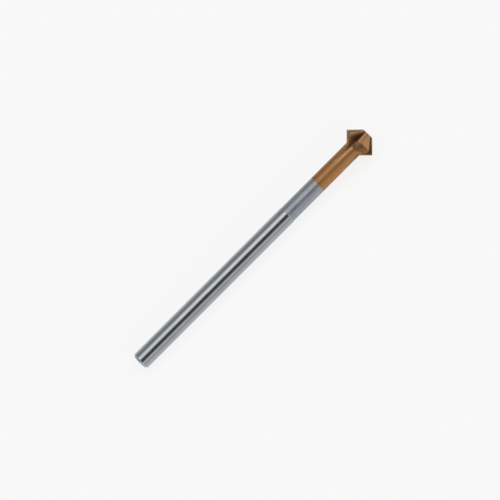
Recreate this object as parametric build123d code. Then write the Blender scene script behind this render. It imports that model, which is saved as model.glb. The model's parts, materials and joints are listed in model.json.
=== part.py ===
from build123d import *

import os
from math import acos, atan2, cos, degrees, hypot, radians, sin, sqrt, tan

# Countersink bit for both edges of a hole: a long straight shank, a slimmer neck and a four-tooth head
# with a 90 degree cutting cone in front and another behind. The whole tool is ground from one rod.
# It is modelled along +X with the shank end at x = 0, then laid down as it comes to rest, +Z up.
# Angles about the axis run from +Y towards +Z, which is the way the tool turns when it cuts.

# Shank and neck, mm
shank_diameter = 10.0
shank_length = 110.0
shank_chamfer = 1.2
neck_diameter = 9.5
reach = 60.0  # neck and head together, from the end of the shank to the front flat

# Head, mm and degrees
head_diameter = 20.5  # over the cutting corners
nose_diameter = 8.2  # over the cutting edges at the front flat
point_angle = 90.0  # included angle of the front cone
back_angle = 90.0  # included angle of the back cone
margin_width = 0.3  # cylindrical land between the two cones
neck_fillet = 1.0  # where the back cone runs into the neck

# Relief: each tooth is ground about an axis of its own, set off towards the tooth ahead of it
tooth_count = 4
relief_offset = 1.15
relief_lead = 45.0  # how far ahead of the cutting edge that offset points

# Flutes: a double-angle wheel runs in parallel to the axis and lifts out of the neck
core_diameter = 3.7  # circle through the sharp roots of the flutes
heel_offset = 1.5  # from the axis to the plane of a heel wall
flute_angle = 46.0  # between the heel wall and the rake face
root_radius = 0.3
flute_length = 24.0  # from the front flat to where the flutes leave the neck
wheel_diameter = 75.0

# A cutter runs this far past what it cuts
overrun = 2.0

# Radii
shank_radius = shank_diameter / 2
neck_radius = neck_diameter / 2
head_radius = head_diameter / 2
nose_radius = nose_diameter / 2
core_radius = core_diameter / 2
wheel_radius = wheel_diameter / 2

# Stations along the axis, from the shank end
overall_length = shank_length + reach
shoulder_end = shank_length + (shank_radius - neck_radius)
front_slope = tan(radians(point_angle / 2))
back_slope = tan(radians(back_angle / 2))
margin_front = overall_length - (head_radius - nose_radius) / front_slope
margin_back = margin_front - margin_width
head_back = margin_back - (head_radius - neck_radius) / back_slope - neck_fillet

tooth_pitch = 360.0 / tooth_count


def on_circle(radius, angle):
    """A point of the cross-section, as (y, z), at an angle in degrees from +Y towards +Z."""
    return radius * cos(radians(angle)), radius * sin(radians(angle))


def turned(point, angle):
    """A point of the cross-section turned about the tool's axis."""
    return on_circle(hypot(*point), degrees(atan2(point[1], point[0])) + angle)


# Section of a flute: its heel wall is parallel to +Y, and its rake face turns back from that
root_y = sqrt(core_radius**2 - heel_offset**2)
root_z = -heel_offset
rake_y, rake_z = on_circle(1.0, -flute_angle)
middle_y, middle_z = on_circle(1.0, -flute_angle / 2)


def distance_out(direction_y, direction_z, radius):
    """How far a line runs from the flute's root, in that direction, until it is at radius from the axis."""
    half = root_y * direction_y + root_z * direction_z
    return sqrt(half**2 + radius**2 - core_radius**2) - half


# The cutting corner is where the rake face meets the full radius of the head
rake_length = distance_out(rake_y, rake_z, head_radius)
corner_y = root_y + rake_length * rake_y
corner_z = root_z + rake_length * rake_z
corner_angle = degrees(atan2(corner_z, corner_y))

# The axis that a tooth's relief is ground about, and the corner's radius from it
relief_y, relief_z = on_circle(relief_offset, corner_angle + relief_lead)
relief_radius = hypot(corner_y - relief_y, corner_z - relief_z)


def turned_stock():
    """The rod as turned: chamfered end, shank, short shoulder, neck, and a plain drum to cut the head from."""
    outline = Polyline(
        (0, 0),
        (0, shank_radius - shank_chamfer),
        (shank_chamfer, shank_radius),
        (shank_length, shank_radius),
        (shoulder_end, neck_radius),
        (head_back, neck_radius),
        (head_back, head_radius + overrun),
        (overall_length, head_radius + overrun),
        (overall_length, 0),
        close=True,
    )
    return revolve(make_face(outline), Axis.X)


def relieved_form():
    """One tooth's cones and margin, turned about its relief axis and blended into a stub of the neck."""
    back_end = relief_radius - (margin_back - head_back) * back_slope
    front_end = relief_radius - (overall_length - margin_front) * front_slope
    outline = Polyline(
        (head_back, 0),
        (head_back, back_end),
        (margin_back, relief_radius),
        (margin_front, relief_radius),
        (overall_length, front_end),
        (overall_length, 0),
        close=True,
    )
    cones = Pos(0, relief_y, relief_z) * revolve(make_face(outline), Axis.X)
    neck_stub = extrude(Plane.YZ.offset(head_back) * Circle(neck_radius), margin_back - head_back)
    form = cones + neck_stub
    curved = form.edges().filter_by(GeomType.LINE, reverse=True)
    clear = margin_width / 2
    junction = curved.filter_by_position(Axis.X, head_back + clear, margin_back - clear)
    return fillet(junction, neck_fillet)


def tooth_sector():
    """The space of one tooth, from the middle of the flute behind it to the middle of the one ahead."""
    ahead = (root_y, root_z)
    ahead_far = (root_y + head_diameter * middle_y, root_z + head_diameter * middle_z)
    behind = turned(ahead, -tooth_pitch)
    behind_far = turned(ahead_far, -tooth_pitch)
    section = make_face(Polyline((0, 0), ahead, ahead_far, behind_far, behind, close=True))
    return extrude(Plane.YZ.offset(head_back) * section, overall_length - head_back)


def wheel_section():
    """The wheel's V profile with its rounded tip, as it stands in the cross-section."""
    outline = Polyline(
        (root_y, root_z),
        (root_y + head_diameter, root_z),
        (root_y + head_diameter * rake_y, root_z + head_diameter * rake_z),
        close=True,
    )
    section = make_face(outline)
    tip = section.vertices().sort_by_distance((root_y, root_z))[0]
    return fillet(tip, root_radius)


def flute_cut():
    """What one pass of the wheel removes: a straight V through the head, then the rim's curve upwards."""
    neck_depth = distance_out(middle_y, middle_z, neck_radius)
    lift_length = sqrt(wheel_radius**2 - (wheel_radius - neck_depth) ** 2)
    lift_start = overall_length - flute_length + lift_length
    lift_angle = degrees(acos((wheel_radius - neck_depth - overrun) / wheel_radius))
    section = Plane.YZ.offset(lift_start) * wheel_section()
    straight = extrude(section, flute_length - lift_length + overrun)
    hub = (lift_start, root_y + wheel_radius * middle_y, root_z + wheel_radius * middle_z)
    spindle = Axis(hub, (0, middle_z, -middle_y))
    return straight + revolve(section, spindle, lift_angle)


def relief_cut():
    """What grinding one tooth to its relieved form removes."""
    return tooth_sector() - relieved_form()


def countersink_bit():
    """The finished tool along +X: turned, then fluted, then each tooth ground to its form."""
    body = turned_stock()
    for cut in (flute_cut(), relief_cut()):
        for number in range(tooth_count):
            body -= Rot(X=number * tooth_pitch) * cut
    return body


def laid_down(tool):
    """The tool at rest on a cutting corner, the heel corner across the flute, and the rim of its shank."""
    next_relief_y, next_relief_z = turned((relief_y, relief_z), tooth_pitch)
    heel_y = next_relief_y + sqrt(relief_radius**2 - (root_z - next_relief_z) ** 2)
    across_y = heel_y - corner_y
    across_z = root_z - corner_z
    head_drop = (corner_y * root_z - corner_z * heel_y) / hypot(across_y, across_z)
    down_angle = degrees(atan2(-across_y, across_z))
    tilt = atan2(head_drop - shank_radius, margin_back - shank_chamfer)
    height = shank_radius * cos(tilt) - shank_chamfer * sin(tilt)
    lying = Pos(0, 0, height) * Rot(Y=-degrees(tilt)) * Rot(X=-90.0 - down_angle) * tool
    middle = lying.bounding_box().center()
    return Pos(-middle.X, -middle.Y, 0) * lying


bit = laid_down(countersink_bit())
bit.label = "countersink_bit"
os.makedirs("parts", exist_ok=True)
export_step(bit, "parts/countersink_bit.step")
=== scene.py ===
"""Countersink bit with its finished surfaces, floor, light and camera. Lengths are in metres."""

import json
from math import atan2, cos, pi, radians, sin, sqrt, tan
from types import SimpleNamespace

import bpy
from mathutils import Matrix, Vector


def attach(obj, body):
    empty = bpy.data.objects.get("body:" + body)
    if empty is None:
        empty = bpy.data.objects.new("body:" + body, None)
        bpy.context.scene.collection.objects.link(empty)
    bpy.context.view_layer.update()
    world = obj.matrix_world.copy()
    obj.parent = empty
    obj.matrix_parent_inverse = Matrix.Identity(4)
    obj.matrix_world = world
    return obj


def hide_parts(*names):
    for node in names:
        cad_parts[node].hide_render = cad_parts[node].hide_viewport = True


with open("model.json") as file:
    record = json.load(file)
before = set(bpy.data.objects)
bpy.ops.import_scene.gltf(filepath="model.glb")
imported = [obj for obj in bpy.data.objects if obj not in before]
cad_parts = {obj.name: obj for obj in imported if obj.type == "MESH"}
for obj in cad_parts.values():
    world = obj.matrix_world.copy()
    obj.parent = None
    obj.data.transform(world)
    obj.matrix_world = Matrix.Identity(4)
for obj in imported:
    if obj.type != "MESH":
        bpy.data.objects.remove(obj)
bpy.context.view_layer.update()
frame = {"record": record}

bl_info = {
    "name": "Countersink Bit",
    "version": (1, 0, 0),
    "blender": (4, 5, 0),
    "location": "3D View > Sidebar > Countersink",
    "description": "Makes a coated four-tooth countersink bit and the stage it is shown on",
    "category": "Add Mesh",
}

MM = 0.001
NODE = "countersink_bit"
PIECE = "countersink_bit_finished"

# How finely the bit is built
COLUMNS = 256  # faces round the axis
EDGE_BREAK_STEPS = 3
BACK_CONE_CUTS = 64  # many, because the fillet into the neck is part of it
FRONT_CONE_CUTS = 12
RIM_STEPS = 40  # along the curve on which the wheel lifts out of the neck
ROOT_STEPS = 8  # round the root of a flute
MERGE_WITHIN = 0.002 * MM
SHARP_ABOVE = radians(22.0)  # edges that turn by less are shaded smooth

# How the wheel goes through the blank
OVERRUN = 2.0 * MM  # it starts this far past the front flat
LIFT_TURN = 0.55  # radians of its rim's curve, by which it is clear of the neck

# Marks on the faces that the wheel leaves
HEEL_WALL, RAKE_FACE = 1.0, 2.0

# Where the step between two teeth lies, as a share of the flute's angle from its heel wall
SEAM_SHARE = 0.72

mounts = {mount["name"]: mount for mount in frame["record"]["mounts"]}
shank_end = Vector(mounts["shank_end"]["pos_m"])
tool_axis = -Vector(mounts["shank_end"]["axis"])


# ---------------------------------------------------------------- settings

def length(name, millimetres, description):
    """A length that the user can change, given here in millimetres."""
    return bpy.props.FloatProperty(
        name=name, description=description, default=millimetres * MM, min=0.0, precision=5,
        subtype="DISTANCE", unit="LENGTH",
    )


def angle(name, in_degrees, description):
    """An angle that the user can change, given here in degrees."""
    return bpy.props.FloatProperty(
        name=name, description=description, default=radians(in_degrees), subtype="ANGLE", unit="ROTATION",
    )


def linear(colour):
    """A colour written as an sRGB hex value, as linear RGBA."""
    parts = [int(colour[i:i + 2], 16) / 255 for i in (1, 3, 5)]
    return (*[p / 12.92 if p <= 0.04045 else ((p + 0.055) / 1.055) ** 2.4 for p in parts], 1.0)


def shade(name, colour, description):
    """A colour that the user can change, given here as an sRGB hex value."""
    return bpy.props.FloatVectorProperty(
        name=name, description=description, default=linear(colour)[:3], min=0.0, max=1.0,
        subtype="COLOR", size=3,
    )


class BitSizes(bpy.types.PropertyGroup):
    """Sizes of the ground bit."""

    shank_radius: length("Shank radius", mounts["shank"]["dims"]["r_mm"], "Half the gripped diameter")
    shank_length: length("Shank length", 110.0, "From the shank end to the shoulder of the neck")
    shank_chamfer: length("Shank chamfer", 1.2, "45 degree chamfer on the shank end")
    neck_radius: length("Neck radius", 4.75, "Radius of the slimmer neck")
    reach: length("Reach", 60.0, "Neck and head together")
    head_radius: length("Head radius", 10.25, "From the axis to a cutting corner")
    nose_radius: length("Nose radius", 4.1, "From the axis to the cutting edges at the front flat")
    cone_angle: angle("Cone angle", 45.0, "Between the axis and either cone")
    margin_width: length("Margin width", 0.3, "Cylindrical land between the cones")
    neck_fillet: length("Neck fillet", 1.0, "Where the back cone runs into the neck")
    edge_break: length("Edge break", 0.15, "Rounding of the turned edges on shank and shoulder")
    tooth_count: bpy.props.IntProperty(name="Teeth", description="Cutting edges", default=4, min=2, max=8)
    relief_offset: length("Relief offset", 1.15, "How far off the tool's axis a tooth is ground about")
    relief_lead: angle("Relief lead", 45.0, "How far ahead of the cutting edge that offset points")
    core_radius: length("Core radius", 1.85, "Circle through the sharp roots of the flutes")
    heel_offset: length("Heel offset", 1.5, "From the axis to the plane of a heel wall")
    flute_angle: angle("Flute angle", 46.0, "Between the heel wall and the rake face")
    root_radius: length("Root radius", 0.3, "Rounding at the bottom of a flute")
    flute_length: length("Flute length", 24.0, "From the front flat to where the flutes leave the neck")
    wheel_radius: length("Wheel radius", 37.5, "Grinding wheel that leaves the flutes' run-out")
    coated_length: length("Coated length", 37.4, "From the front flat to the end of the coating")


class BitFinish(bpy.types.PropertyGroup):
    """Colours of the metal and its coating, with painted light and shade on the head."""

    steel: shade("Steel", "#A6ABAE", "Ground tool steel of the shank")
    steel_cool: shade("Cool steel", "#9CA3A8", "Patches of the shank where the grinding is a little coarser")
    steel_worn: shade("Worn steel", "#C6CACC", "Steel at edges that are handled")
    matt_steel: shade("Matt steel", "#A3A9AE", "Blasted steel of the neck")
    matt_cool: shade("Cool matt steel", "#979EA5", "Patches of the neck that the blasting bit deeper into")
    coating: shade("Coating", "#B08154", "Bronze hard coating on the neck")
    coating_warm: shade("Warm coating", "#BB7F4E", "Patches where the coating is a little thicker")
    coating_rim: shade("Coating rim", "#B0744C", "Thin rim of the coating, next to the bare steel")
    # Painted shade on the back cones and painted light on the front cones, from how the light falls on them
    coating_back_painted_shade: shade("Back of the head", "#805E38", "Coating on the back cones, away from its source")
    coating_front_painted_light: shade("Front of the head", "#AC835A", "Coating on the front cones, towards its source")
    # Painted shade on the front cones just ahead of each heel
    coating_lee_painted_shade: shade("Lee of the heel", "#8E5E38", "Coating on the front cones just ahead of a heel")
    # Painted shade: a dark strip along each front cutting edge, standing in for the shaded flute beyond it
    land_painted_shade: shade("Cutting land", "#523C27", "Narrow land along the front cutting edges, darkened by heat")
    # Painted highlight along the heels, and wear with a painted highlight at sharp edges
    coating_worn_and_lit: shade("Worn coating", "#DAB184", "Coating polished thin along the edges")
    # Painted shade at the bottom of a flute
    flute_root_painted_shade: shade("Flute root", "#846C4A", "Thin, dark coating at the bottom of a flute")
    flute_wall: shade("Flute wall", "#AE7F4E", "Coating half way up a rake face")
    # Painted highlight next to a cutting edge
    flute_rim_highlight: shade("Flute rim", "#FFDAAA", "Coating next to a cutting edge")
    # Painted light where a flute is shallow
    flute_neck_painted_light: shade("Flute in the neck", "#CFB38B", "Coating where a flute is shallow")
    # Painted shade on the heel walls, which are the same coating as the rake faces but face away from the
    # light
    heel_root_painted_shade: shade("Heel root", "#64502F", "Coating low on a heel wall")
    heel_rim_painted_shade: shade("Heel rim", "#664A2E", "Coating at the top of a heel wall, in the lee of the tooth")


class StageSettings(bpy.types.PropertyGroup):
    """Floor, light and camera."""

    floor: shade("Floor", "#F5F5F5", "Colour of the pale floor")
    floor_white: bpy.props.FloatProperty(
        name="Floor white", description="Share of plain white in the floor as it is seen", default=0.84,
        min=0.0, max=1.0, subtype="FACTOR",
    )
    lean: angle("Camera lean", 17.1, "From straight down, square to the tool's axis")
    picture_width: length("Picture width", 263.3, "What the picture spans at the bit")
    aim_along: length("Aim along", 82.92, "Middle of the picture, along the axis from the shank end")
    aim_across: length("Aim across", 0.75, "Middle of the picture, across from the axis")
    focal_length: bpy.props.FloatProperty(
        name="Focal length", description="Long lens, in mm, which keeps the bit's sides parallel",
        default=300.0, min=1.0, unit="CAMERA",
    )


# ---------------------------------------------------------------- node helpers

def add(tree, kind, sockets=None, **settings):
    """Adds a node with its settings, and gives its input sockets a value, a link or a node's first output."""
    node = tree.nodes.new(kind)
    for name, value in settings.items():
        setattr(node, name, value)
    for key, value in (sockets or {}).items():
        if isinstance(value, bpy.types.Node):
            value = value.outputs[0]
        if isinstance(value, bpy.types.NodeSocket):
            tree.links.new(value, node.inputs[key])
        else:
            node.inputs[key].default_value = value
    return node


def new_tree(name, inputs):
    """An empty Geometry Nodes tree with named inputs, and its group input node."""
    tree = bpy.data.node_groups.new(name, "GeometryNodeTree")
    tree.is_modifier = True
    tree.interface.new_socket("Geometry", in_out="INPUT", socket_type="NodeSocketGeometry")
    kinds = {int: "Int", float: "Float", Vector: "Vector", bpy.types.Material: "Material"}
    for title, value in inputs.items():
        tree.interface.new_socket(title, in_out="INPUT", socket_type="NodeSocket" + kinds[type(value)])
    tree.interface.new_socket("Geometry", in_out="OUTPUT", socket_type="NodeSocketGeometry")
    return tree, tree.nodes.new("NodeGroupInput")


def made_mesh(name, tree, inputs):
    """The mesh that a tree makes from these inputs, as a new plain object."""
    maker = bpy.data.objects.new(name + "_maker", bpy.data.meshes.new(name + "_maker"))
    bpy.context.scene.collection.objects.link(maker)
    modifier = maker.modifiers.new(tree.name, "NODES")
    modifier.node_group = tree
    for item in tree.interface.items_tree:
        if item.in_out == "INPUT" and item.name in inputs:
            modifier[item.identifier] = inputs[item.name]
    bpy.context.view_layer.update()
    evaluated = maker.evaluated_get(bpy.context.evaluated_depsgraph_get())
    mesh = bpy.data.meshes.new_from_object(evaluated)
    bpy.data.objects.remove(maker)
    mesh.name = name
    piece = bpy.data.objects.new(name, mesh)
    bpy.context.scene.collection.objects.link(piece)
    return piece


# ---------------------------------------------------------------- shape of the bit

def on_circle(radius, turn):
    """A point of the cross-section, as (y, z), at an angle from +Y towards +Z."""
    return Vector((0.0, radius * cos(turn), radius * sin(turn)))


def turned(point, turn):
    """A point turned about the tool's axis."""
    return Matrix.Rotation(turn, 4, "X") @ point


def distance_out(start, direction, radius):
    """How far a line across the axis runs from start until it is at radius from the axis."""
    half = start.dot(direction)
    return sqrt(half**2 + radius**2 - start.dot(start)) - half


def worked_out(s):
    """The stations, flute and relief that follow from the sizes."""
    d = SimpleNamespace()
    slope = tan(s.cone_angle)
    d.overall = s.shank_length + s.reach
    d.shoulder_end = s.shank_length + s.shank_radius - s.neck_radius
    d.margin_front = d.overall - (s.head_radius - s.nose_radius) / slope
    d.margin_back = d.margin_front - s.margin_width
    d.head_back = d.margin_back - (s.head_radius - s.neck_radius) / slope - s.neck_fillet
    d.pitch = 2 * pi / s.tooth_count

    d.root = Vector((0.0, sqrt(s.core_radius**2 - s.heel_offset**2), -s.heel_offset))
    d.rake = on_circle(1.0, -s.flute_angle)
    d.middle = on_circle(1.0, -s.flute_angle / 2)
    d.corner = d.root + distance_out(d.root, d.rake, s.head_radius) * d.rake
    corner_turn = atan2(d.corner.z, d.corner.y)
    d.relief = on_circle(s.relief_offset, corner_turn + s.relief_lead)
    d.relief_radius = (d.corner - d.relief).length
    d.back_radius = d.relief_radius - (d.margin_back - d.head_back) * slope
    d.front_radius = d.relief_radius - (d.overall - d.margin_front) * slope

    depth = distance_out(d.root, d.middle, s.neck_radius)
    d.lift_length = sqrt(s.wheel_radius**2 - (s.wheel_radius - depth) ** 2)
    d.lift_start = d.overall - s.flute_length + d.lift_length
    return d


def lying(s, d):
    """The bit's place at rest: on a cutting corner, the heel corner across the flute and the shank's rim."""
    next_relief = turned(d.relief, d.pitch)
    heel_y = next_relief.y + sqrt(d.relief_radius**2 - (d.root.z - next_relief.z) ** 2)
    across = Vector((0.0, heel_y - d.corner.y, d.root.z - d.corner.z))
    roll = -pi / 2 - atan2(-across.y, across.z)
    tilt = -atan2(tool_axis.z, tool_axis.x)
    return Matrix.Translation(shank_end) @ Matrix.Rotation(tilt, 4, "Y") @ Matrix.Rotation(roll, 4, "X")


def bit_tree(s, d, materials):
    """Turned blank with relieved teeth, from which a wheel takes each flute."""
    inputs = {
        "Shank Radius": s.shank_radius, "Chamfered Radius": s.shank_radius - s.shank_chamfer,
        "Shank Chamfer": s.shank_chamfer, "Shank Length": s.shank_length, "Shoulder End": d.shoulder_end,
        "Neck Radius": s.neck_radius, "Coating Start": d.overall - s.coated_length,
        "Head Back": d.head_back, "Back Radius": d.back_radius, "Margin Back": d.margin_back,
        "Margin Front": d.margin_front, "Margin Radius": d.relief_radius,
        "Overall Length": d.overall, "Front Radius": d.front_radius,
        "Edge Break": s.edge_break, "Neck Fillet": s.neck_fillet, "Cone Angle": s.cone_angle,
        "Relief Centre": d.relief, "Teeth": s.tooth_count, "Columns": COLUMNS,
        "Flute Root": d.root, "Flute Angle": s.flute_angle, "Root Radius": s.root_radius,
        "Wheel Radius": s.wheel_radius, "Lift Start": d.lift_start, "Wheel Reach": 2 * s.head_radius,
        **materials,
    }
    tree, size = new_tree("Ground Countersink Bit", inputs)
    size = size.outputs

    # Outline from the shank end to the front flat, and what is done at each point: relieved (1) or round
    # the tool's axis (0), blended into the neck (1) or not (0), and cuts up to the next point
    outline = (
        (None, None, 0, 0, 0),
        (None, "Chamfered Radius", 0, 0, 0),
        ("Shank Chamfer", "Shank Radius", 0, 0, 0),
        ("Shank Length", "Shank Radius", 0, 0, 0),
        ("Shoulder End", "Neck Radius", 0, 0, 0),
        ("Coating Start", "Neck Radius", 0, 0, 0),
        ("Head Back", "Neck Radius", 0, 0, 0),
        ("Head Back", "Back Radius", 1, 1, BACK_CONE_CUTS),
        ("Margin Back", "Margin Radius", 1, 1, 0),
        ("Margin Front", "Margin Radius", 1, 0, FRONT_CONE_CUTS),
        ("Overall Length", "Front Radius", 1, 0, 0),
        ("Overall Length", None, 0, 0, 0),
    )
    turned_edges = 5  # this many of the first points have their corners broken
    index = add(tree, "GeometryNodeInputIndex")
    position = add(tree, "GeometryNodeInputPosition")
    places = add(tree, "GeometryNodeIndexSwitch", {"Index": index}, data_type="VECTOR")
    notes = add(tree, "GeometryNodeIndexSwitch", {"Index": index}, data_type="VECTOR")
    for number, (along, out, *note) in enumerate(outline):
        if number > 1:
            places.index_switch_items.new()
            notes.index_switch_items.new()
        point = add(tree, "ShaderNodeCombineXYZ")
        for socket, title in zip(point.inputs, (along, out)):
            if title:
                tree.links.new(size[title], socket)
        tree.links.new(point.outputs[0], places.inputs[number + 1])
        notes.inputs[number + 1].default_value = note
    line = add(tree, "GeometryNodeMeshLine", {"Count": len(outline)})
    line = add(tree, "GeometryNodeSetPosition", {"Geometry": line, "Position": places})
    line = add(tree, "GeometryNodeStoreNamedAttribute", {"Geometry": line, "Name": "note", "Value": notes},
               data_type="FLOAT_VECTOR")
    line = add(tree, "GeometryNodeMeshToCurve", {"Mesh": line})
    is_turned = add(tree, "FunctionNodeCompare", {0: index, 1: float(turned_edges)}, operation="LESS_THAN")
    rounding = add(tree, "ShaderNodeMath", {0: is_turned, 1: size["Edge Break"]}, operation="MULTIPLY")
    line = add(tree, "GeometryNodeFilletCurve",
               {"Curve": line, "Count": EDGE_BREAK_STEPS, "Radius": rounding}, mode="POLY")
    note = add(tree, "GeometryNodeInputNamedAttribute", {"Name": "note"}, data_type="FLOAT_VECTOR")
    cuts = add(tree, "ShaderNodeSeparateXYZ", {0: note}).outputs[2]
    line = add(tree, "GeometryNodeSubdivideCurve", {"Curve": line, "Cuts": cuts})

    # The outline spun into a closed skin: one row of the grid for each point, one column for each direction
    count = add(tree, "GeometryNodeAttributeDomainSize", {"Geometry": line}, component="CURVE")
    in_row = add(tree, "ShaderNodeMath", {0: size["Columns"], 1: 1.0}, operation="ADD")
    grid = add(tree, "GeometryNodeMeshGrid", {"Vertices X": count, "Vertices Y": in_row})
    row = add(tree, "FunctionNodeIntegerMath", {0: index, 1: in_row}, operation="DIVIDE_FLOOR")
    column = add(tree, "FunctionNodeIntegerMath", {0: index, 1: in_row}, operation="MODULO")
    station = add(tree, "GeometryNodeSampleIndex", {"Geometry": line, "Value": position, "Index": row},
                  data_type="FLOAT_VECTOR")
    station = add(tree, "ShaderNodeSeparateXYZ", {0: station})
    done = add(tree, "GeometryNodeSampleIndex", {"Geometry": line, "Value": note, "Index": row},
               data_type="FLOAT_VECTOR")
    done = add(tree, "ShaderNodeSeparateXYZ", {0: done})

    # Each tooth's sector starts in the flute behind it, where the wheel clears the step between teeth
    step = add(tree, "ShaderNodeMath", {0: 2 * pi, 1: size["Columns"]}, operation="DIVIDE")
    pitch = add(tree, "ShaderNodeMath", {0: 2 * pi, 1: size["Teeth"]}, operation="DIVIDE")
    seam = add(tree, "ShaderNodeMath",
               {0: size["Flute Angle"], 1: -SEAM_SHARE, 2: step}, operation="MULTIPLY_ADD")
    seam = add(tree, "ShaderNodeMath", {0: seam, 1: pitch}, operation="SUBTRACT")
    turn = add(tree, "ShaderNodeMath", {0: column, 1: step, 2: seam}, operation="MULTIPLY_ADD")
    across = add(tree, "ShaderNodeVectorRotate", {"Vector": (0.0, 1.0, 0.0), "Angle": turn},
                 rotation_type="X_AXIS")
    columns_each = add(tree, "FunctionNodeIntegerMath", {0: size["Columns"], 1: size["Teeth"]},
                       operation="DIVIDE")
    tooth = add(tree, "FunctionNodeIntegerMath", {0: column, 1: columns_each}, operation="DIVIDE_FLOOR")
    tooth_turn = add(tree, "ShaderNodeMath", {0: tooth, 1: pitch}, operation="MULTIPLY")
    centre = add(tree, "ShaderNodeVectorRotate", {"Vector": size["Relief Centre"], "Angle": tooth_turn},
                 rotation_type="X_AXIS")
    centre = add(tree, "ShaderNodeVectorMath", {0: centre, "Scale": done.outputs[0]}, operation="SCALE")

    # Distance from the tool's axis to a circle of the station's radius about that centre
    towards = add(tree, "ShaderNodeVectorMath", {0: centre, 1: across}, operation="DOT_PRODUCT")
    towards = towards.outputs["Value"]
    offset_squared = add(tree, "ShaderNodeVectorMath", {0: centre, 1: centre}, operation="DOT_PRODUCT")
    offset_squared = offset_squared.outputs["Value"]
    radius = station.outputs[1]
    squared = add(tree, "ShaderNodeMath", {0: radius, 1: radius}, operation="MULTIPLY")
    squared = add(tree, "ShaderNodeMath", {0: squared, 1: offset_squared}, operation="SUBTRACT")
    squared = add(tree, "ShaderNodeMath", {0: towards, 1: towards, 2: squared}, operation="MULTIPLY_ADD")
    out = add(tree, "ShaderNodeMath", {0: squared}, operation="SQRT")
    out = add(tree, "ShaderNodeMath", {0: out, 1: towards}, operation="ADD")

    # The back cone runs into the neck through an arc that is tangent to both
    half_angle = add(tree, "ShaderNodeMath", {0: size["Cone Angle"], 1: 0.5}, operation="MULTIPLY")
    tangent = add(tree, "ShaderNodeMath", {0: half_angle}, operation="TANGENT")
    slope = add(tree, "ShaderNodeMath", {0: size["Cone Angle"]}, operation="TANGENT")
    arc_end = add(tree, "ShaderNodeMath", {0: size["Cone Angle"]}, operation="SINE")
    arc_end = add(tree, "ShaderNodeMath", {0: arc_end, 1: size["Neck Fillet"]}, operation="MULTIPLY")
    past = add(tree, "ShaderNodeMath", {0: out, 1: size["Neck Radius"]}, operation="SUBTRACT")
    past = add(tree, "ShaderNodeMath", {0: past, 1: slope}, operation="DIVIDE")
    past = add(tree, "ShaderNodeMath",
               {0: tangent, 1: size["Neck Fillet"], 2: past}, operation="MULTIPLY_ADD")
    past = add(tree, "ShaderNodeClamp", {"Value": past, "Min": 0.0, "Max": arc_end})
    drop = add(tree, "ShaderNodeMath", {0: past, 1: past}, operation="MULTIPLY")
    fillet_squared = add(tree, "ShaderNodeMath", {0: size["Neck Fillet"], 1: size["Neck Fillet"]},
                         operation="MULTIPLY")
    drop = add(tree, "ShaderNodeMath", {0: fillet_squared, 1: drop}, operation="SUBTRACT")
    drop = add(tree, "ShaderNodeMath", {0: drop}, operation="SQRT")
    arc = add(tree, "ShaderNodeMath", {0: size["Neck Radius"], 1: size["Neck Fillet"]}, operation="ADD")
    arc = add(tree, "ShaderNodeMath", {0: arc, 1: drop}, operation="SUBTRACT")
    arc = add(tree, "ShaderNodeMath", {0: arc, 1: done.outputs[1]}, operation="MULTIPLY")
    out = add(tree, "ShaderNodeMath", {0: out, 1: arc}, operation="MAXIMUM")
    along = add(tree, "ShaderNodeCombineXYZ", {"X": station.outputs[0]})
    place = add(tree, "ShaderNodeVectorMath", {0: across, "Scale": out}, operation="SCALE")
    place = add(tree, "ShaderNodeVectorMath", {0: place, 1: along}, operation="ADD")
    skin = add(tree, "GeometryNodeSetPosition", {"Geometry": grid, "Position": place})
    blank = add(tree, "GeometryNodeMergeByDistance", {"Geometry": skin, "Distance": MERGE_WITHIN})
    blank = add(tree, "GeometryNodeFlipFaces", {"Mesh": blank})

    # The wheel's path: straight through the head, then along its own rim out of the neck
    tangent_length = add(tree, "ShaderNodeMath", {0: size["Wheel Radius"], 1: tan(LIFT_TURN / 2)},
                         operation="MULTIPLY")
    path_start = add(tree, "ShaderNodeMath", {0: size["Overall Length"], 1: OVERRUN}, operation="ADD")
    bend = add(tree, "ShaderNodeMath", {0: size["Lift Start"], 1: tangent_length}, operation="SUBTRACT")
    path_end = add(tree, "ShaderNodeMath", {0: tangent_length, 1: -cos(LIFT_TURN), 2: bend},
                   operation="MULTIPLY_ADD")
    path_rise = add(tree, "ShaderNodeMath", {0: tangent_length, 1: sin(LIFT_TURN)}, operation="MULTIPLY")
    stops = (
        add(tree, "ShaderNodeCombineXYZ", {"X": path_start}),
        add(tree, "ShaderNodeCombineXYZ", {"X": bend}),
        add(tree, "ShaderNodeCombineXYZ", {"X": path_end, "Z": path_rise}),
    )
    vee_half = add(tree, "ShaderNodeMath", {0: size["Flute Angle"], 1: 0.5}, operation="MULTIPLY")
    vee_width = add(tree, "ShaderNodeMath", {0: vee_half}, operation="SINE")
    vee_width = add(tree, "ShaderNodeMath", {0: vee_width, 1: size["Wheel Reach"]}, operation="MULTIPLY")
    vee_height = add(tree, "ShaderNodeMath", {0: vee_half}, operation="COSINE")
    vee_height = add(tree, "ShaderNodeMath", {0: vee_height, 1: size["Wheel Reach"]}, operation="MULTIPLY")
    vee_height = add(tree, "ShaderNodeMath", {0: vee_height, 1: -1.0}, operation="MULTIPLY")
    vee_left = add(tree, "ShaderNodeMath", {0: vee_width, 1: -1.0}, operation="MULTIPLY")
    vee = (
        add(tree, "ShaderNodeCombineXYZ"),
        add(tree, "ShaderNodeCombineXYZ", {"X": vee_width, "Y": vee_height}),
        add(tree, "ShaderNodeCombineXYZ", {"X": vee_left, "Y": vee_height}),
    )
    curves = []
    for corners in (stops, vee):
        chosen = add(tree, "GeometryNodeIndexSwitch", {"Index": index}, data_type="VECTOR")
        chosen.index_switch_items.new()
        for number, corner in enumerate(corners):
            tree.links.new(corner.outputs[0], chosen.inputs[number + 1])
        chain = add(tree, "GeometryNodeMeshLine", {"Count": len(corners)})
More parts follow.
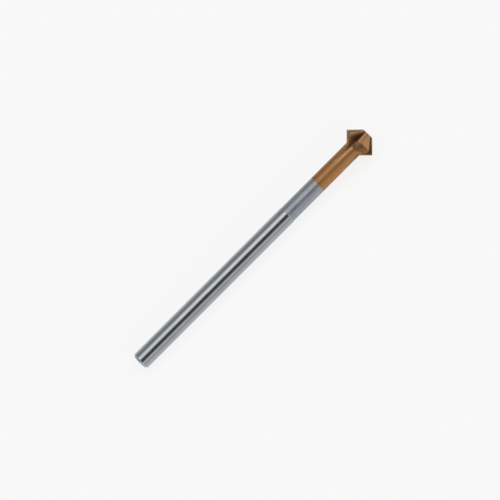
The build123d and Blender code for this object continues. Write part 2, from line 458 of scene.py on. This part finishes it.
        chain = add(tree, "GeometryNodeSetPosition", {"Geometry": chain, "Position": chosen})
        curves.append(add(tree, "GeometryNodeMeshToCurve", {"Mesh": chain}))
    path = add(tree, "GeometryNodeFilletCurve",
               {"Curve": curves[0], "Count": RIM_STEPS, "Radius": size["Wheel Radius"]}, mode="POLY")
    path = add(tree, "GeometryNodeSetCurveNormal", {"Curve": path}, mode="Z_UP")
    vee = add(tree, "GeometryNodeSetSplineCyclic", {"Geometry": curves[1], "Cyclic": True})
    is_root = add(tree, "FunctionNodeCompare", {0: index, 1: 0.5}, operation="LESS_THAN")
    root_rounding = add(tree, "ShaderNodeMath", {0: is_root, 1: size["Root Radius"]}, operation="MULTIPLY")
    vee = add(tree, "GeometryNodeFilletCurve",
              {"Curve": vee, "Count": ROOT_STEPS, "Radius": root_rounding}, mode="POLY")
    wheel = add(tree, "GeometryNodeCurveToMesh", {"Curve": path, "Profile Curve": vee, "Fill Caps": True})
    wheel = add(tree, "GeometryNodeFlipFaces", {"Mesh": wheel})
    wheel_side = add(tree, "ShaderNodeSeparateXYZ", {0: position}).outputs[1]
    wall = add(tree, "ShaderNodeMath", {0: wheel_side, 1: 0.0}, operation="GREATER_THAN")
    wall = add(tree, "ShaderNodeMath", {0: wall, 1: HEEL_WALL}, operation="ADD")
    wheel = add(tree, "GeometryNodeStoreNamedAttribute",
                {"Geometry": wheel, "Name": "flute", "Value": wall}, data_type="FLOAT", domain="FACE")
    middle_turn = add(tree, "ShaderNodeMath", {0: vee_half, 1: -1.0, 2: -pi / 2}, operation="MULTIPLY_ADD")
    middle_turn = add(tree, "ShaderNodeCombineXYZ", {"X": middle_turn})
    wheel = add(tree, "GeometryNodeTransform",
                {"Geometry": wheel, "Translation": size["Flute Root"], "Rotation": middle_turn})

    # One pass of the wheel for each flute
    passes = add(tree, "GeometryNodePoints", {"Count": size["Teeth"]})
    pass_turn = add(tree, "ShaderNodeMath", {0: index, 1: pitch}, operation="MULTIPLY")
    pass_turn = add(tree, "ShaderNodeCombineXYZ", {"X": pass_turn})
    passes = add(tree, "GeometryNodeInstanceOnPoints",
                 {"Points": passes, "Instance": wheel, "Rotation": pass_turn})
    passes = add(tree, "GeometryNodeRealizeInstances", {"Geometry": passes})
    fluted = add(tree, "GeometryNodeMeshBoolean", {"Mesh 1": blank, "Mesh 2": passes},
                 operation="DIFFERENCE", solver="MANIFOLD")
    fluted = add(tree, "GeometryNodeRealizeInstances", {"Geometry": fluted})

    # Shaded smooth, except at sharp edges
    corner_angle = add(tree, "GeometryNodeInputMeshEdgeAngle")
    is_round = add(tree, "FunctionNodeCompare", {0: corner_angle, 1: SHARP_ABOVE}, operation="LESS_THAN")
    fluted = add(tree, "GeometryNodeSetShadeSmooth", {"Geometry": fluted, "Shade Smooth": is_round},
                 domain="EDGE")

    # Each stretch gets its finish, and then the two walls of the flutes get theirs
    along = add(tree, "ShaderNodeSeparateXYZ", {0: position})
    before_all = -1.0
    for title, start in (("Shank", None), ("Neck", "Shank Length"), ("Head", "Coating Start")):
        begins = size[start] if start else before_all
        chosen = add(tree, "FunctionNodeCompare", {0: along, 1: begins}, operation="GREATER_THAN")
        fluted = add(tree, "GeometryNodeSetMaterial",
                     {"Geometry": fluted, "Selection": chosen, "Material": size[title]})
    wall = add(tree, "GeometryNodeInputNamedAttribute", {"Name": "flute"}, data_type="FLOAT")
    for title, value in (("Heel Walls", HEEL_WALL), ("Rake Faces", RAKE_FACE)):
        chosen = add(tree, "FunctionNodeCompare", {0: wall, 1: value - 0.5}, operation="GREATER_THAN")
        fluted = add(tree, "GeometryNodeSetMaterial",
                     {"Geometry": fluted, "Selection": chosen, "Material": size[title]})
    add(tree, "NodeGroupOutput", {0: fluted})
    return tree, inputs


# ---------------------------------------------------------------- materials

# Sockets of the Mix node that stand for its two colours and its result
MIX_A, MIX_B, MIX_OUT = 6, 7, 2

# Noise stays mostly between these, so a pattern goes from none to all of itself there
PATCH_LOW, PATCH_HIGH = 0.4, 0.64
MARK_LOW, MARK_HIGH = 0.3, 0.7
MARK_STRENGTH = 0.6

# How alike the rounded and the flat normal are where the lighter edge begins, and where it is complete
UNWORN_UNLIT, WORN_AND_LIT = 0.995, 0.9


def rgba(colour):
    """A stored colour with full alpha."""
    return (*colour, 1.0)


def new_material(name):
    """An empty material and its node tree, with the Principled shader linked to the output."""
    material = bpy.data.materials.new(name)
    material.use_nodes = True
    tree = material.node_tree
    tree.nodes.clear()
    shader = add(tree, "ShaderNodeBsdfPrincipled")
    add(tree, "ShaderNodeOutputMaterial", {"Surface": shader})
    return material, tree, shader


def set_ramp(ramp, stops):
    """Gives a colour ramp its stops, which are positions and RGBA colours in rising order."""
    elements = ramp.color_ramp.elements
    for number, (position, colour) in enumerate(stops):
        element = elements[number] if number < 2 else elements.new(position)
        element.position = position
        element.color = colour


def bit_place(tree, rest):
    """Object coordinates turned into the bit's own: along its axis from the shank end, and across it."""
    coordinates = add(tree, "ShaderNodeTexCoord").outputs["Object"]
    return add(tree, "ShaderNodeMapping",
               {"Vector": coordinates, "Location": rest.to_translation(), "Rotation": rest.to_euler()},
               vector_type="TEXTURE")


def spots(tree, place, size, detail=2.0):
    """Noise whose spots are this large, in mm, along the bit and across it."""
    along, across = size
    spread = (1 / (along * MM), 1 / (across * MM), 1 / (across * MM))
    stretched = add(tree, "ShaderNodeVectorMath", {0: place, 1: spread}, operation="MULTIPLY")
    return add(tree, "ShaderNodeTexNoise", {"Vector": stretched, "Scale": 1.0, "Detail": detail})


def patched(tree, place, tint, other, size, most):
    """A tint that goes at most this far to another one, in patches of this size, in mm."""
    noise = spots(tree, place, size)
    patches = add(tree, "ShaderNodeMapRange",
                  {"Value": noise, "From Min": PATCH_LOW, "From Max": PATCH_HIGH, "To Max": most})
    mixed = add(tree, "ShaderNodeMix", {0: patches, MIX_A: tint, MIX_B: other}, data_type="RGBA")
    return mixed.outputs[MIX_OUT]


def worn_and_lit_edges(tree, tint, worn, width, most):
    """A tint that goes at most this far to the edge tint, within this distance, in mm, of a sharp edge: wear
    on bare steel, and wear with a painted highlight on the coating.
    """
    rounded = add(tree, "ShaderNodeBevel", {"Radius": width * MM}, samples=8)
    flat = add(tree, "ShaderNodeNewGeometry").outputs["Normal"]
    match = add(tree, "ShaderNodeVectorMath", {0: rounded, 1: flat}, operation="DOT_PRODUCT")
    edge = add(tree, "ShaderNodeMapRange",
               {"Value": match.outputs["Value"], "From Min": UNWORN_UNLIT, "From Max": WORN_AND_LIT, "To Max": most})
    mixed = add(tree, "ShaderNodeMix", {0: edge, MIX_A: tint, MIX_B: worn}, data_type="RGBA")
    return mixed.outputs[MIX_OUT]


def marked(tree, shader, place, lay, roughness, swing, depth):
    """Marks of this size, in mm, in the roughness and the relief."""
    marks = spots(tree, place, lay, detail=3.0)
    rough = add(tree, "ShaderNodeMapRange",
                {"Value": marks, "From Min": MARK_LOW, "From Max": MARK_HIGH,
                 "To Min": roughness - swing, "To Max": roughness + swing})
    relief = add(tree, "ShaderNodeBump", {"Height": marks, "Strength": MARK_STRENGTH, "Distance": depth * MM})
    tree.links.new(rough.outputs[0], shader.inputs["Roughness"])
    tree.links.new(relief.outputs[0], shader.inputs["Normal"])


def ground_steel(finish, rest):
    """Tool steel, centreless ground."""
    # To the eye: bright and a little cool, and the fine marks round it draw reflections out along it
    material, tree, shader = new_material("ground_tool_steel")
    place = bit_place(tree, rest)
    tint = patched(tree, place, rgba(finish.steel), rgba(finish.steel_cool), size=(9.0, 4.0), most=0.8)
    tint = worn_and_lit_edges(tree, tint, rgba(finish.steel_worn), width=0.5, most=0.8)
    tree.links.new(tint, shader.inputs["Base Color"])
    # The wheel's marks are about 0.02 mm apart, and are drawn ten times coarser so that they show
    marked(tree, shader, place, lay=(0.2, 8.0), roughness=0.23, swing=0.045, depth=0.002)
    shader.inputs["Metallic"].default_value = 1.0
    shader.inputs["Anisotropic"].default_value = 0.5
    lengthways = add(tree, "ShaderNodeCombineXYZ", dict(enumerate(tool_axis)))
    tree.links.new(lengthways.outputs[0], shader.inputs["Tangent"])
    return material


def matt_steel(finish, rest):
    """Tool steel, fine blasted after grinding."""
    # To the eye: a soft grey with an even, fine grain that has no direction
    material, tree, shader = new_material("blasted_tool_steel")
    place = bit_place(tree, rest)
    tint = patched(tree, place, rgba(finish.matt_steel), rgba(finish.matt_cool), size=(6.0, 3.0), most=0.8)
    tint = worn_and_lit_edges(tree, tint, rgba(finish.steel_worn), width=0.4, most=0.6)
    tree.links.new(tint, shader.inputs["Base Color"])
    # Blasting grit leaves pits about 0.05 mm wide, and they are drawn five times wider so that they show
    marked(tree, shader, place, lay=(0.25, 0.25), roughness=0.45, swing=0.06, depth=0.006)
    shader.inputs["Metallic"].default_value = 1.0
    return material


def flute_place(tree, place, d):
    """The bit's own coordinates turned back by whole pitches, so every flute lies where the first does."""
    sector_start = radians(-70.0)  # on the tooth behind the first flute, clear of its land
    apart = add(tree, "ShaderNodeSeparateXYZ", {0: place}).outputs
    turn = add(tree, "ShaderNodeMath", {0: apart[2], 1: apart[1]}, operation="ARCTAN2")
    turn = add(tree, "ShaderNodeMath", {0: turn, 1: -sector_start}, operation="ADD")
    turn = add(tree, "ShaderNodeMath", {0: turn, 1: d.pitch}, operation="SNAP")
    turn = add(tree, "ShaderNodeMath", {0: turn, 1: -1.0}, operation="MULTIPLY")
    return add(tree, "ShaderNodeVectorRotate", {"Vector": place, "Angle": turn}, rotation_type="X_AXIS")


def band(tree, place, origin, normal, width):
    """1 at a plane, 0 this far in front of it and 0 behind it; the width may be a number or a socket."""
    slack = 0.05 * MM  # so that an edge that lies in the plane counts
    reach = add(tree, "ShaderNodeVectorMath", {0: place, 1: normal}, operation="DOT_PRODUCT").outputs["Value"]
    reach = add(tree, "ShaderNodeMath", {0: reach, 1: origin.dot(normal)}, operation="SUBTRACT")
    near = add(tree, "ShaderNodeMapRange", {"Value": reach, "From Max": width, "To Min": 1.0, "To Max": 0.0})
    front = add(tree, "ShaderNodeMath", {0: reach, 1: -slack}, operation="GREATER_THAN")
    return add(tree, "ShaderNodeMath", {0: near, 1: front}, operation="MULTIPLY")


def bronze_coating(finish, rest, s, d):
    """Vapour-deposited hard coating on ground steel."""
    # To the eye: satin bronze, with painted shade on the back cones and painted light on the front cones, a
    # painted highlight line along the heels, and painted shade beside the front cutting edges and just ahead
    # of the heels
    material, tree, shader = new_material("bronze_hard_coating")
    place = bit_place(tree, rest)
    along = add(tree, "ShaderNodeSeparateXYZ", {0: place}).outputs[0]
    # Painted shade on the back cones and painted light on the front cones, along the ramp; the rim next to
    # the bare steel is the coating's own colour
    start = d.overall - s.coated_length
    rim_end = start + 1.6 * MM
    darkens = d.head_back + 1.5 * MM
    dark = d.head_back + 4.0 * MM
    lightens = d.margin_back - 0.1 * MM
    light = d.margin_front + 0.3 * MM
    stops = (
        (start, finish.coating_rim), (rim_end, finish.coating), (darkens, finish.coating),
        (dark, finish.coating_back_painted_shade), (lightens, finish.coating_back_painted_shade),
        (light, finish.coating_front_painted_light), (d.overall, finish.coating_front_painted_light),
    )
    share = add(tree, "ShaderNodeMapRange", {"Value": along, "From Min": start, "From Max": d.overall})
    ramp = add(tree, "ShaderNodeValToRGB", {0: share})
    set_ramp(ramp, [((station - start) / s.coated_length, rgba(colour)) for station, colour in stops])
    tint = patched(tree, place, ramp, rgba(finish.coating_warm), size=(3.5, 2.0), most=0.5)

    # What follows an edge of the flutes keeps to the cones and the neck, off the front flat
    flute = flute_place(tree, place, d)
    rake_normal = Vector((0.0, d.rake.z, -d.rake.y))
    heel_normal = Vector((0.0, 0.0, 1.0))
    off_flat = add(tree, "ShaderNodeMath", {0: along, 1: d.overall - 0.1 * MM}, operation="LESS_THAN")

    # A narrow strip of painted shade follows each front cutting edge, for the shaded flute beyond it, and
    # fades only over its last third
    land_start = d.margin_back - 1.0 * MM
    land_width = add(tree, "ShaderNodeMapRange",
                     {"Value": along, "From Min": land_start, "From Max": d.margin_front, "To Max": 1.4 * MM})
    land_painted_shade = band(tree, flute, d.root, rake_normal, land_width)
    land_painted_shade = add(tree, "ShaderNodeMath", {0: land_painted_shade, 1: 3.0}, operation="MULTIPLY", use_clamp=True)
    on_tooth = add(tree, "ShaderNodeMath", {0: along, 1: land_start}, operation="GREATER_THAN")
    for limit in (on_tooth, off_flat):
        land_painted_shade = add(tree, "ShaderNodeMath", {0: land_painted_shade, 1: limit}, operation="MULTIPLY")
    tint = add(tree, "ShaderNodeMix", {0: land_painted_shade, MIX_A: tint, MIX_B: rgba(finish.land_painted_shade)}, data_type="RGBA")

    # Painted shade on the front cones, just ahead of the heel
    lee = band(tree, flute, d.root, heel_normal, 2.6 * MM)
    on_front_cone = add(tree, "ShaderNodeMath", {0: along, 1: d.margin_front}, operation="GREATER_THAN")
    for limit in (on_front_cone, off_flat):
        lee = add(tree, "ShaderNodeMath", {0: lee, 1: limit}, operation="MULTIPLY")
    tint = add(tree, "ShaderNodeMix",
               {0: lee, MIX_A: tint.outputs[MIX_OUT], MIX_B: rgba(finish.coating_lee_painted_shade)}, data_type="RGBA")

    # A painted highlight line follows each heel, as far back as its flute goes, and is widest on the back
    # cone
    heel_width, back_cone_extra = 1.1 * MM, 1.6 * MM
    neck_highlight, head_extra = 0.6, 0.4
    flute_end = d.overall - s.flute_length
    reached = add(tree, "ShaderNodeMapRange",
                  {"Value": along, "From Min": flute_end, "From Max": flute_end + 3.0 * MM})
    on_head = add(tree, "ShaderNodeMapRange",
                  {"Value": along, "From Min": d.head_back, "From Max": d.head_back + 3.0 * MM})
    behind_front = add(tree, "ShaderNodeMapRange",
                       {"Value": along, "From Min": d.margin_back, "From Max": d.margin_front + 0.5 * MM,
                        "To Min": 1.0, "To Max": 0.0})
    on_back_cone = add(tree, "ShaderNodeMath", {0: on_head, 1: behind_front}, operation="MULTIPLY")
    width = add(tree, "ShaderNodeMath",
                {0: on_back_cone, 1: back_cone_extra, 2: heel_width}, operation="MULTIPLY_ADD")
    heel_highlight_share = add(tree, "ShaderNodeMath", {0: on_head, 1: head_extra, 2: neck_highlight}, operation="MULTIPLY_ADD")
    heel = band(tree, flute, d.root, heel_normal, width)
    for limit in (reached, heel_highlight_share, off_flat):
        heel = add(tree, "ShaderNodeMath", {0: heel, 1: limit}, operation="MULTIPLY")
    tint = add(tree, "ShaderNodeMix",
               {0: heel, MIX_A: tint.outputs[MIX_OUT], MIX_B: rgba(finish.coating_worn_and_lit)}, data_type="RGBA")

    # Sharp edges are lighter, as wear and as a painted highlight, except along the painted shade strips
    most = 0.6
    wear_and_highlight = add(tree, "ShaderNodeMath", {0: land_painted_shade, 1: -most, 2: most}, operation="MULTIPLY_ADD")
    tint = worn_and_lit_edges(tree, tint.outputs[MIX_OUT], rgba(finish.coating_worn_and_lit), width=0.4, most=wear_and_highlight)
    tree.links.new(tint, shader.inputs["Base Color"])
    # The coating keeps the marks of the wheel under it, which are about 0.02 mm apart and are drawn coarser
    marked(tree, shader, place, lay=(0.25, 5.0), roughness=0.5, swing=0.08, depth=0.006)
    shader.inputs["Metallic"].default_value = 1.0
    return material


def bronze_flute(name, wall, rim, finish, rest, s, d):
    """The same coating on one kind of flute wall, with painted shade down at the root."""
    # To the eye: duller bronze with marks along the flute, with painted shade at the root and a painted
    # highlight at the front edge
    material, tree, shader = new_material(name)
    place = bit_place(tree, rest)
    across = add(tree, "ShaderNodeVectorMath", {0: place, 1: (0.0, 1.0, 1.0)}, operation="MULTIPLY")
    radius = add(tree, "ShaderNodeVectorMath", {0: across}, operation="LENGTH").outputs["Value"]
    share = add(tree, "ShaderNodeMapRange",
                {"Value": radius, "From Min": s.core_radius, "From Max": s.head_radius})
    ramp = add(tree, "ShaderNodeValToRGB", {0: share})
    # Painted shade: darkest at the root of the flute, where little light gets in
    dark_until, wall_from = 0.1, 0.6
    set_ramp(ramp, ((dark_until, rgba(finish.flute_root_painted_shade)), (wall_from, rgba(wall))))

    # Painted highlight towards the front cutting edges, where along and radius add up to the most
    along = add(tree, "ShaderNodeSeparateXYZ", {0: place}).outputs[0]
    outline = add(tree, "ShaderNodeMath", {0: along, 1: radius}, operation="ADD")
    front_edge = d.margin_front + s.head_radius
    near_edge = add(tree, "ShaderNodeMapRange",
                    {"Value": outline, "From Min": front_edge - 4.0 * MM, "From Max": front_edge})
    tint = add(tree, "ShaderNodeMix", {0: near_edge, MIX_A: ramp, MIX_B: rgba(rim)}, data_type="RGBA")

    # Painted light where the flute runs out into the neck, lifting the shade of its deep, narrow vee
    shallow = add(tree, "ShaderNodeMapRange",
                  {"Value": along, "From Min": d.margin_back, "From Max": d.head_back - 2.0 * MM})
    tint = add(tree, "ShaderNodeMix",
               {0: shallow, MIX_A: tint.outputs[MIX_OUT], MIX_B: rgba(finish.flute_neck_painted_light)}, data_type="RGBA")
    tint = tint.outputs[MIX_OUT]
    tint = patched(tree, place, tint, rgba(finish.coating_warm), size=(4.0, 1.5), most=0.25)
    # Sharp edges of the flute turn to the rim colour: wear, and a painted highlight
    tint = worn_and_lit_edges(tree, tint, rgba(finish.flute_rim_highlight), width=0.4, most=0.6)
    tree.links.new(tint, shader.inputs["Base Color"])
    # The wheel ran along the flute, so its marks do too; they are about 0.03 mm apart and are drawn coarser
    marked(tree, shader, place, lay=(9.0, 0.25), roughness=0.6, swing=0.08, depth=0.006)
    shader.inputs["Metallic"].default_value = 1.0
    return material


# ---------------------------------------------------------------- operators

class MakeBit(bpy.types.Operator):
    """Make the finished countersink bit in place of its CAD node"""

    bl_idname = "countersink.make_bit"
    bl_label = "Countersink Bit"

    def execute(self, context):
        s = context.scene.countersink_sizes
        finish = context.scene.countersink_finish
        d = worked_out(s)
        rest = lying(s, d)
        # The heel walls get darker tints than the rake faces: painted shade
        heel_tints = (finish.heel_root_painted_shade, finish.heel_rim_painted_shade)
        rake_tints = (finish.flute_wall, finish.flute_rim_highlight)
        materials = {
            "Shank": ground_steel(finish, rest),
            "Neck": matt_steel(finish, rest),
            "Head": bronze_coating(finish, rest, s, d),
            "Heel Walls": bronze_flute("bronze_heel_wall_painted_shade_and_light", *heel_tints, finish, rest, s, d),
            "Rake Faces": bronze_flute("bronze_rake_face_painted_light_and_shade", *rake_tints, finish, rest, s, d),
        }
        tree, inputs = bit_tree(s, d, materials)
        piece = made_mesh(PIECE, tree, inputs)
        if not piece.data.polygons:
            raise RuntimeError("the tree made no faces")
        # The blank had no material, and leaves an empty slot
        if piece.data.materials[0] is None:
            piece.data.materials.pop(index=0)
        piece.data.transform(rest)
        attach(piece, "root")
        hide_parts(NODE)
        return {"FINISHED"}


class MakeStage(bpy.types.Operator):
    """Set out the floor, the light and the camera"""

    bl_idname = "countersink.make_stage"
    bl_label = "Stage"

    def execute(self, context):
        stage = context.scene.countersink_stage
        make_floor(stage)
        make_light()
        make_camera(stage)
        context.scene.view_settings.view_transform = "Standard"
        return {"FINISHED"}


def make_floor(stage):
    """A wide pale floor that the bit lies on."""
    half = 6.0
    corners = [(-half, -half, 0.0), (half, -half, 0.0), (half, half, 0.0), (-half, half, 0.0)]
    mesh = bpy.data.meshes.new("floor")
    mesh.from_pydata(corners, [], [(0, 1, 2, 3)])
    floor = bpy.data.objects.new("floor", mesh)
    bpy.context.scene.collection.objects.link(floor)

    # Matt paint: to the eye, no highlight and a soft shadow
    material, tree, shader = new_material("painted_floor")
    surface = shader.outputs["BSDF"].links[0].to_socket
    shader.inputs["Base Color"].default_value = rgba(stage.floor)
    shader.inputs["Roughness"].default_value = 0.9
    shader.inputs["Specular IOR Level"].default_value = 0.0

    # Seen directly, in metal or through glass it is nearly white, with part of the shadow that falls on it
    ray = add(tree, "ShaderNodeLightPath").outputs
    seen = add(tree, "ShaderNodeMath", {0: ray["Is Camera Ray"], 1: ray["Is Glossy Ray"]}, operation="ADD")
    seen = add(tree, "ShaderNodeMath", {0: seen, 1: ray["Is Transmission Ray"]}, operation="ADD")
    share = add(tree, "ShaderNodeMath", {0: seen, 1: stage.floor_white}, operation="MULTIPLY", use_clamp=True)
    white = add(tree, "ShaderNodeEmission", {"Color": (1.0, 1.0, 1.0, 1.0), "Strength": 1.0})
    mixed = add(tree, "ShaderNodeMixShader", {0: share, 1: shader, 2: white})
    tree.links.new(mixed.outputs[0], surface)
    mesh.materials.append(material)


def make_light():
    """A studio sky with long soft boxes and a dark gap round the camera, all parallel to the bit."""
    world = bpy.data.worlds.new("studio")
    bpy.context.scene.world = world
    world.use_nodes = True
    tree = world.node_tree
    tree.nodes.clear()
    generated = add(tree, "ShaderNodeTexCoord").outputs["Generated"]
    to_head, to_back, upwards = add(tree, "ShaderNodeSeparateXYZ", {0: generated}).outputs
    to_front = add(tree, "ShaderNodeMath", {0: to_back, 1: -1.0}, operation="MULTIPLY")

    # Level of the sky at each height, in degrees from the near horizon, over the top, to the far one
    horizon, near_foot, near_box, gap, top_box, far_wall = 0.35, 0.75, 0.92, 0.07, 1.6, 0.46
    sky = (
        (0.0, horizon), (14.0, near_foot), (36.0, near_box), (52.0, gap), (79.0, gap),
        (95.0, top_box), (119.0, top_box), (131.0, far_wall), (180.0, far_wall),
    )
    height = add(tree, "ShaderNodeMath", {0: upwards, 1: to_front}, operation="ARCTAN2")
    height = add(tree, "ShaderNodeMath", {0: height, 1: pi}, operation="DIVIDE")
    ramp = add(tree, "ShaderNodeValToRGB", {0: height})
    ramp.color_ramp.interpolation = "EASE"
    set_ramp(ramp, [(degrees_up / 180, (level, level, level, 1.0)) for degrees_up, level in sky])

    # Brighter on the side that the head points to, and at the ends of the boxes on the near side
    head_side, near_ends = 0.5, 3.2
    ends = add(tree, "ShaderNodeMath", {0: to_head, 1: to_front}, operation="MULTIPLY")
    ends = add(tree, "ShaderNodeMath", {0: ends, 1: near_ends, 2: head_side}, operation="MULTIPLY_ADD")
    side = add(tree, "ShaderNodeMath", {0: to_head, 1: ends, 2: 1.0}, operation="MULTIPLY_ADD")
    background = add(tree, "ShaderNodeBackground", {"Color": ramp, "Strength": side})
    add(tree, "ShaderNodeOutputWorld", {"Surface": background})


def make_camera(stage):
    """A long lens, square to the tool's axis, turned so that the bit runs from corner to corner."""
    data = bpy.data.cameras.new("camera")
    data.sensor_width = 36.0
    data.lens = stage.focal_length
    data.clip_end = 100.0
    camera = bpy.data.objects.new("camera", data)
    bpy.context.scene.collection.objects.link(camera)
    bpy.context.scene.camera = camera
    straight_up = Vector((-tool_axis.z, 0.0, tool_axis.x))
    to_camera = straight_up * cos(stage.lean) - Vector((0.0, 1.0, 0.0)) * sin(stage.lean)
    across = tool_axis.cross(to_camera)
    right = (tool_axis + across).normalized()
    up = (tool_axis - across).normalized()
    distance = stage.picture_width * data.lens / data.sensor_width
    aim = shank_end + tool_axis * stage.aim_along - across * stage.aim_across
    place = Matrix((right, up, to_camera)).transposed().to_4x4()
    place.translation = aim + to_camera * distance
    camera.matrix_world = place


class CountersinkPanel(bpy.types.Panel):
    """Sizes, colours and stage of the countersink bit"""

    bl_idname = "VIEW3D_PT_countersink"
    bl_label = "Countersink Bit"
    bl_space_type = "VIEW_3D"
    bl_region_type = "UI"
    bl_category = "Countersink"

    def draw(self, context):
        for group, operator in (
            (context.scene.countersink_sizes, None),
            (context.scene.countersink_finish, MakeBit),
            (context.scene.countersink_stage, MakeStage),
        ):
            box = self.layout.box()
            for name in group.bl_rna.properties.keys():
                if name not in ("rna_type", "name"):
                    box.prop(group, name)
            if operator:
                box.operator(operator.bl_idname)


SETTINGS = {
    "countersink_sizes": BitSizes,
    "countersink_finish": BitFinish,
    "countersink_stage": StageSettings,
}
CLASSES = (*SETTINGS.values(), MakeBit, MakeStage, CountersinkPanel)


def register():
    """Register the classes and hang the settings on the scene."""
    for cls in CLASSES:
        bpy.utils.register_class(cls)
    for name, cls in SETTINGS.items():
        setattr(bpy.types.Scene, name, bpy.props.PointerProperty(type=cls))


def unregister():
    """Take the settings and the classes away again."""
    for name in SETTINGS:
        delattr(bpy.types.Scene, name)
    for cls in reversed(CLASSES):
        bpy.utils.unregister_class(cls)


def main():
    register()
    bpy.ops.countersink.make_bit()
    bpy.ops.countersink.make_stage()


if __name__ == "__main__":
    main()
